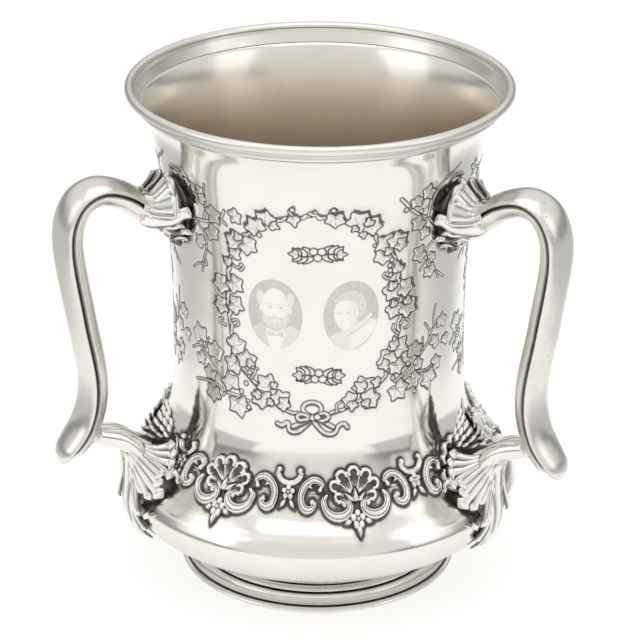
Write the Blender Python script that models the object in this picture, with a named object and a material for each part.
# Three-handled loving cup (a silver presentation trophy), as separate named pieces.
# Metres, +Z up.  The origin is on the cup's axis, on the plane it stands on; the
# main panel faces -Y, one handle stands at +Y and the others at 60 degrees either
# side of the front.  Angles below are measured from -Y towards +X.
import bpy
import bmesh
from math import sin, cos, pi, radians, sqrt, atan2, hypot
from mathutils import Vector

# ------------------------------------------------------------------ driving dimensions (millimetres)
CUP_HEIGHT = 235.0            # plane of the foot to the top of the lip
NECK_SEAM_Z = 67.0            # spun neck meets spun bowl, under the cast band
NECK_TOP_Z = 226.4            # top of the neck sheet, under the lip moulding
SHEET = 1.1                   # gauge of the spun sheet
GAP = 0.3                     # play kept between neighbouring solids
SEGMENTS = 40                 # facets round the axis
HANDLE_ANGLES = {"left": -60.0, "right": 60.0, "rear": 180.0}
GRIP_HALF_WIDTH = 10.0
GRIP_HALF_DEPTH = 6.2
GRIP_WALL = 1.3
BEAD_HALF_WIDTH = 7.4
BAND_REPEATS = 8
BAND_START = 15.9             # angle of the first shell
BAND_RELIEF = 2.4             # how far the cast band stands off the body
FOOT_RADIUS = 64.7

# outer profile of the body: height, radius
PROFILE = [(9.5, 53.6), (12.0, 57.8), (16.0, 64.5), (21.0, 72.8), (28.0, 84.5), (36.0, 91.7),
           (43.5, 93.4), (48.0, 91.6), (52.0, 88.3), (58.0, 82.3), (64.0, 77.2), (70.0, 73.6),
           (76.0, 70.8), (82.0, 68.7), (88.0, 67.6), (108.0, 66.8), (124.0, 66.6), (142.0, 66.9),
           (160.0, 67.8), (178.0, 69.5), (194.0, 71.6), (206.0, 73.7), (214.0, 75.6), (220.0, 77.7),
           (226.4, 81.2)]

# centre line of a handle: distance from the axis, height
GRIP_PATH = [(86.0, 189.0), (97.0, 197.0), (108.5, 200.0), (118.0, 194.0), (121.8, 178.0),
             (117.2, 145.0), (112.2, 112.0), (116.0, 91.0), (129.0, 73.2)]

for old in list(bpy.data.objects):
    bpy.data.objects.remove(old, do_unlink=True)

MM = 0.001


# ------------------------------------------------------------------ small geometry helpers
def hermite(stations, x):
    """Smooth curve through (x, y) stations, without overshoot at a turn."""
    n = len(stations)
    if x <= stations[0][0]:
        return stations[0][1]
    if x >= stations[-1][0]:
        return stations[-1][1]
    slopes = [(stations[i + 1][1] - stations[i][1]) / (stations[i + 1][0] - stations[i][0]) for i in range(n - 1)]

    def tangent(i):
        if i == 0:
            return slopes[0]
        if i == n - 1:
            return slopes[-1]
        a, b = slopes[i - 1], slopes[i]
        return 0.0 if a * b <= 0 else 2 * a * b / (a + b)

    for i in range(n - 1):
        x0, y0 = stations[i]
        x1, y1 = stations[i + 1]
        if x0 <= x <= x1:
            h = x1 - x0
            t = (x - x0) / h
            return ((2 * t**3 - 3 * t**2 + 1) * y0 + (t**3 - 2 * t**2 + t) * h * tangent(i)
                    + (-2 * t**3 + 3 * t**2) * y1 + (t**3 - t**2) * h * tangent(i + 1))
    return stations[-1][1]


def body_r(z):
    return hermite(PROFILE, z)


def catmull(points, t):
    """Point on a Catmull-Rom curve through the points, t from 0 to 1."""
    n = len(points) - 1
    s = min(max(t, 0.0), 1.0) * n
    i = min(int(s), n - 1)
    f = s - i
    p1, p2 = points[i], points[i + 1]
    p0 = points[i - 1] if i > 0 else tuple(2 * a - b for a, b in zip(p1, p2))
    p3 = points[i + 2] if i + 2 <= n else tuple(2 * b - a for a, b in zip(p1, p2))
    return tuple(0.5 * (2 * b + (c - a) * f + (2 * a - 5 * b + 4 * c - d) * f * f
                        + (3 * b - a - 3 * c + d) * f**3) for a, b, c, d in zip(p0, p1, p2, p3))


def polar(angle_deg, rho, side, z):
    """Point at distance rho from the axis along an angle, side mm across it, height z, in metres."""
    a = radians(angle_deg)
    return Vector(((rho * sin(a) + side * cos(a)) * MM, (-rho * cos(a) + side * sin(a)) * MM, z * MM))


def silver(name, colour, roughness):
    mat = bpy.data.materials.new(name)
    mat.use_nodes = True
    shader = mat.node_tree.nodes["Principled BSDF"]
    shader.inputs["Base Color"].default_value = (*colour, 1.0)
    shader.inputs["Roughness"].default_value = roughness
    shader.inputs["Metallic"].default_value = 1.0
    return mat


def finish(name, bm, colour=(0.80, 0.79, 0.76), roughness=0.22, smooth=True):
    bmesh.ops.remove_doubles(bm, verts=bm.verts, dist=1e-6)
    bmesh.ops.recalc_face_normals(bm, faces=bm.faces)
    mesh = bpy.data.meshes.new(name)
    bm.to_mesh(mesh)
    bm.free()
    if smooth:
        mesh.shade_smooth()
        mesh.set_sharp_from_angle(angle=radians(38))
    mesh.materials.append(silver(name + "_metal", colour, roughness))
    obj = bpy.data.objects.new(name, mesh)
    bpy.context.scene.collection.objects.link(obj)
    return obj


def turn(name, loop, **look):
    """Closed (radius, height) loop turned about the axis; a point at radius 0 becomes one vertex."""
    bm = bmesh.new()
    rings = []
    for r, z in loop:
        if r < 1e-6:
            rings.append([bm.verts.new((0, 0, z * MM))])
        else:
            rings.append([bm.verts.new(polar(360.0 * k / SEGMENTS, r, 0, z)) for k in range(SEGMENTS)])
    for i in range(len(rings)):
        a, b = rings[i], rings[(i + 1) % len(rings)]
        for k in range(SEGMENTS):
            k2 = (k + 1) % SEGMENTS
            if len(a) == 1 and len(b) == 1:
                break
            if len(a) == 1:
                bm.faces.new((a[0], b[k], b[k2]))
            elif len(b) == 1:
                bm.faces.new((a[k], b[0], a[k2]))
            else:
                bm.faces.new((a[k], b[k], b[k2], a[k2]))
    return finish(name, bm, **look)


def skin(name, rings, cap_start=True, cap_end=True, **look):
    """Rings of points with equal counts joined into a closed tube."""
    bm = bmesh.new()
    made = [[bm.verts.new(p) for p in ring] for ring in rings]
    n = len(made[0])
    for a, b in zip(made, made[1:]):
        for k in range(n):
            bm.faces.new((a[k], a[(k + 1) % n], b[(k + 1) % n], b[k]))
    if cap_start:
        bm.faces.new(list(reversed(made[0])))
    if cap_end:
        bm.faces.new(made[-1])
    return finish(name, bm, **look)


# ------------------------------------------------------------------ the body: neck, bowl, lip
def sheet(heights):
    """Outer and inner lines of the spun sheet at the given heights."""
    outside, inside = [], []
    for z in heights:
        slope = max(min((body_r(z + 0.4) - body_r(z - 0.4)) / 0.8, 2.6), -2.6)
        k = SHEET / sqrt(1 + slope * slope)
        outside.append((body_r(z), z))
        inside.append((body_r(z) - k, z + k * slope))
    return outside, inside


outer, inner = sheet([NECK_SEAM_Z + GAP, 73, 80, 90, 110, 140, 165, 185, 200, 211, 220, NECK_TOP_Z - GAP])
inner[0] = (inner[0][0], outer[0][1])
inner[-1] = (inner[-1][0], outer[-1][1])
turn("neck_shell", outer + [p for k, p in enumerate(inner) if k != 4 and k != 9][::-1])

outer, inner = sheet([9.5, 12, 16, 21, 28, 33, 38, 43.5, 48, 53, 60, NECK_SEAM_Z])
inner[-1] = (inner[-1][0], outer[-1][1])
inner = [p for p in inner if p[1] > 9.5 + SHEET]
floor_low = [(0.0, 8.9), (48.0, 8.9), (51.0, 9.1)]
floor_high = [(54.0, 9.5 + SHEET + 0.1), (50.0, 8.9 + SHEET + 0.1), (0.0, 8.9 + SHEET)]
turn("bowl_shell", floor_low + outer + inner[::-1] + floor_high)

# lip moulding: a bead over three fine reeds, soldered round the top of the neck
lip = [(80.1, NECK_TOP_Z), (81.25, NECK_TOP_Z), (82.3, 227.3), (82.6, 228.4), (83.8, 229.4), (84.7, 230.7),
       (86.3, 231.4), (86.9, 232.6), (86.4, 234.0), (85.2, 234.9), (84.0, CUP_HEIGHT), (83.0, 234.8),
       (82.5, 233.6), (81.8, 230.5)]
turn("rim_moulding", lip)

# ------------------------------------------------------------------ the foot
turn("foot_collar", [(52.6, 7.1), (57.0, 7.1), (57.3, 7.9), (56.2, 8.7), (54.6, 9.3), (53.2, 8.9), (52.6, 8.6)])
turn("foot_cove", [(52.6, 6.8), (58.9, 6.8), (59.5, 6.3), (60.4, 4.6), (62.5, 3.7), (62.5, 3.3), (52.6, 3.3)])
turn("foot_flange", [(52.6, 3.0), (62.6, 3.0), (64.0, 2.4), (64.7, 1.2), (64.4, 0.2), (64.0, 0.0), (54.0, 0.0),
                     (53.6, 0.5)])
turn("bottom_plate", [(0.0, 2.6), (52.3, 2.6), (52.3, 1.5), (0.0, 1.5)], smooth=False)


# ------------------------------------------------------------------ the cast band round the shoulder
def on_body(angle, across, z, off):
    """A point that lies off mm outside the body surface, across mm round it from an angle."""
    r = body_r(z)
    slope = (body_r(z + 0.5) - body_r(z - 0.5))
    k = off / sqrt(1 + slope * slope)
    rr, zz = r + k, z - k * slope
    a = angle + across / r * 180.0 / pi
    return polar(a, rr, 0, zz)


def plaque(name, angle, centre_z, outline, count, relief):
    """Cast ornament standing on the body: a closed plate from its middle out to outline(phi)."""
    bm = bmesh.new()
    tops, feet = [], []
    for layer, (frac, rise) in enumerate(((0.0, 1.0), (0.5, 0.62), (0.86, 0.95), (1.0, 0.45))):
        top_ring, foot_ring = [], []
        for k in range(1 if layer == 0 else count):
            phi = 2 * pi * k / count
            reach = outline(phi)
            x, z = frac * reach * sin(phi), centre_z + frac * reach * cos(phi)
            top_ring.append(bm.verts.new(on_body(angle, x, z, GAP + relief * rise)))
            foot_ring.append(bm.verts.new(on_body(angle, x, z, GAP + 0.05)))
        tops.append(top_ring)
        feet.append(foot_ring)
    for rings in (tops, feet):
        for a, b in zip(rings, rings[1:]):
            for k in range(count):
                k2 = (k + 1) % count
                if len(a) == 1:
                    bm.faces.new((a[0], b[k], b[k2]))
                else:
                    bm.faces.new((a[k], b[k], b[k2], a[k2]))
    for k in range(count):
        k2 = (k + 1) % count
        bm.faces.new((tops[-1][k], feet[-1][k], feet[-1][k2], tops[-1][k2]))
    return finish(name, bm, colour=(0.62, 0.61, 0.58), roughness=0.3)


def shell_outline(phi):
    """Scalloped fan above, a scroll at each lower side, a drop below."""
    p = phi if phi <= pi else phi - 2 * pi
    q = abs(p)
    if q < radians(100):
        return 11.2 + 0.5 * cos(q * 7.0)
    if q < radians(150):
        return 11.2 + 2.6 * sin((q - radians(100)) / radians(50) * pi)
    return 11.2 + 3.9 * ((q - radians(150)) / radians(30)) ** 2


def link_outline(phi):
    """A scroll each side with its head high, and a pair of leaves below."""
    p = phi if phi <= pi else phi - 2 * pi
    q = abs(p)
    if q < radians(35):
        return 9.0
    if q < radians(90):
        return 9.0 + 7.2 * sin((q - radians(35)) / radians(55) * pi / 1.25)
    return 9.0 + 7.2 * sin(pi / 1.25) * max(0.0, 1 - (q - radians(90)) / radians(50))


for n in range(BAND_REPEATS):
    base = BAND_START + n * 360.0 / BAND_REPEATS
    plaque("band_shell_%d" % (n + 1), base, 67.0, shell_outline, 20, BAND_RELIEF)
    plaque("band_scroll_%d" % (n + 1), base + 180.0 / BAND_REPEATS, 67.6, link_outline, 16, BAND_RELIEF * 0.8)


# ------------------------------------------------------------------ the handles
STATIONS = 20


def grip_frame(t):
    """Centre, outward normal and taper of the grip at t."""
    e = 0.002
    c = catmull(GRIP_PATH, t)
    a, b = catmull(GRIP_PATH, max(t - e, 0)), catmull(GRIP_PATH, min(t + e, 1))
    dx, dz = b[0] - a[0], b[1] - a[1]
    m = hypot(dx, dz)
    dx, dz = dx / m, dz / m
    normal = (-dz, dx)          # points away from the hand hole
    return c, normal


def grip_rings(angle, section, last=1.0):
    rings = []
    for k in range(STATIONS + 1):
        t = last * k / STATIONS
        (cr, cz), (nr, nz) = grip_frame(t)
        end = max(0.0, (t - 0.93) / 0.07)
        wide = 1.0 - 0.42 * end * end
        deep = 1.0 - 0.35 * end * end
        ring = []
        for s, n in section:
            ring.append(polar(angle, cr + nr * n * deep, s * wide, cz + nz * n * deep))
        rings.append(ring)
    return rings


def channel_section():
    """Broad half-round cover, open towards the hand hole."""
    pts = []
    for k in range(7):
        a = radians(-100 + 200 * k / 6)
        pts.append((GRIP_HALF_WIDTH * sin(a), GRIP_HALF_DEPTH * cos(a)))
    for k in range(7):
        a = radians(100 - 200 * k / 6)
        pts.append(((GRIP_HALF_WIDTH - GRIP_WALL) * sin(a), (GRIP_HALF_DEPTH - GRIP_WALL) * cos(a) + 0.0))
    return pts


def bead_section():
    """Narrower rounded strip that closes the cover from the hand side."""
    pts = [(-BEAD_HALF_WIDTH, -1.8), (BEAD_HALF_WIDTH, -1.8)]
    for k in range(6):
        a = radians(90 - 180 * k / 5)
        pts.append((BEAD_HALF_WIDTH * sin(a), -2.6 - (GRIP_HALF_DEPTH - 2.6) * cos(a)))
    return pts


def seat(z):
    """How far the back of a mount stays off the body: it lies over the cast band and down on the sheet elsewhere."""
    band = BAND_RELIEF + 1.6
    if z < 47.0 or z > 83.0:
        return GAP + 0.7
    if z < 50.0:
        return GAP + 0.7 + (band - GAP - 0.25) * (z - 47.0) / 3.0
    if z > 80.0:
        return band - (band - GAP - 0.25) * (z - 80.0) / 3.0
    return band


def trumpet(name, angle, top, bottom, widths, keep_off, count=16, cap=None, **look):
    """Casting that flares from a small oval at the grip to a spread foot on the body."""
    rings = []
    steps = len(widths) - 1
    for i in range(steps + 1):
        t = i / steps
        hi, lo = catmull(top, t), catmull(bottom, t)
        ring = []
        for k in range(count):
            psi = 2 * pi * k / count
            rho = (hi[0] + lo[0]) / 2 + (hi[0] - lo[0]) / 2 * cos(psi)
            z = (hi[1] + lo[1]) / 2 + (hi[1] - lo[1]) / 2 * cos(psi)
            side = widths[i] * sin(psi)
            real = hypot(rho, side)
            least = body_r(z) + max(keep_off, seat(z) + 1.3)
            if real < least:
                rho = sqrt(max(least * least - side * side, 0.0))
            ring.append((rho, side, z))
        rings.append(ring)
    edge = rings[-1]
    mid_z = sum(p[2] for p in edge) / count
    for frac in (1.0, 0.8, 0.6, 0.4, 0.2):
        ring = []
        for rho, side, z in edge:
            s, zz = side * frac, mid_z + (z - mid_z) * frac
            r = body_r(zz) + seat(zz)
            ring.append((sqrt(r * r - s * s), s, zz))
        rings.append(ring)
    bm = bmesh.new()
    made = [[bm.verts.new(polar(angle, *p)) for p in ring] for ring in rings]
    centre = bm.verts.new(polar(angle, body_r(mid_z) + seat(mid_z), 0, mid_z))
    for a, b in zip(made, made[1:]):
        for k in range(count):
            bm.faces.new((a[k], a[(k + 1) % count], b[(k + 1) % count], b[k]))
    bm.faces.new(list(reversed(made[0])))
    for k in range(count):
        bm.faces.new((made[-1][k], made[-1][(k + 1) % count], centre))
    return finish(name, bm, **look)


def palmette(name, angle):
    """Upright pointed leaf that rises from the lower mount and leans against the neck."""
    rings = []
    for k in range(6):
        t = k / 5
        z = 74.6 + 22.4 * t
        half = 7.6 * (1 - t) ** 0.75 + 0.5
        near = body_r(z) + seat(z)
        proud = 6.4 * (1 - 0.5 * t) - seat(z) * 0.6
        ring = []
        for s, f in ((-1, 0), (0, 0), (1, 0), (1, 0.35), (0.45, 0.86), (0, 1.0), (-0.45, 0.86), (-1, 0.35)):
            side = s * half
            r = near + f * proud
            ring.append(polar(angle, sqrt(max(r * r - side * side, 1.0)), side, z))
        rings.append(ring)
    return skin(name, rings, colour=(0.6, 0.59, 0.56), roughness=0.3)


ARM_TOP = [(82.4, 193.6), (78.8, 193.6), (75.6, 199.0), (74.2, 204.5)]
ARM_LOW = [(88.2, 183.0), (83.0, 178.4), (77.0, 173.2), (70.8, 166.0)]
ARM_WIDTHS = [9.8, 9.4, 9.2, 10.0, 11.6, 13.0, 13.6]
ROOT_TOP = [(108.1, 88.4), (103.0, 86.4), (98.0, 84.0), (92.0, 80.0), (86.0, 76.6), (80.0, 74.0), (75.0, 72.4)]
ROOT_LOW = [(112.6, 80.6), (106.0, 77.2), (99.4, 74.0), (96.4, 66.0), (96.8, 53.0), (96.4, 40.0), (88.0, 27.6)]
ROOT_WIDTHS = [6.2, 6.4, 6.8, 7.6, 8.8, 10.2, 11.8, 13.2, 14.2, 14.8]

for side, angle in HANDLE_ANGLES.items():
    skin(side + "_grip", grip_rings(angle, channel_section()))
    skin(side + "_grip_bead", grip_rings(angle, bead_section(), last=0.985))
    trumpet(side + "_upper_mount", angle, ARM_TOP, ARM_LOW, ARM_WIDTHS, 1.6, colour=(0.7, 0.69, 0.66), roughness=0.28)
    trumpet(side + "_lower_mount", angle, ROOT_TOP, ROOT_LOW, ROOT_WIDTHS, 1.8, colour=(0.7, 0.69, 0.66), roughness=0.28)
    palmette(side + "_palmette", angle)
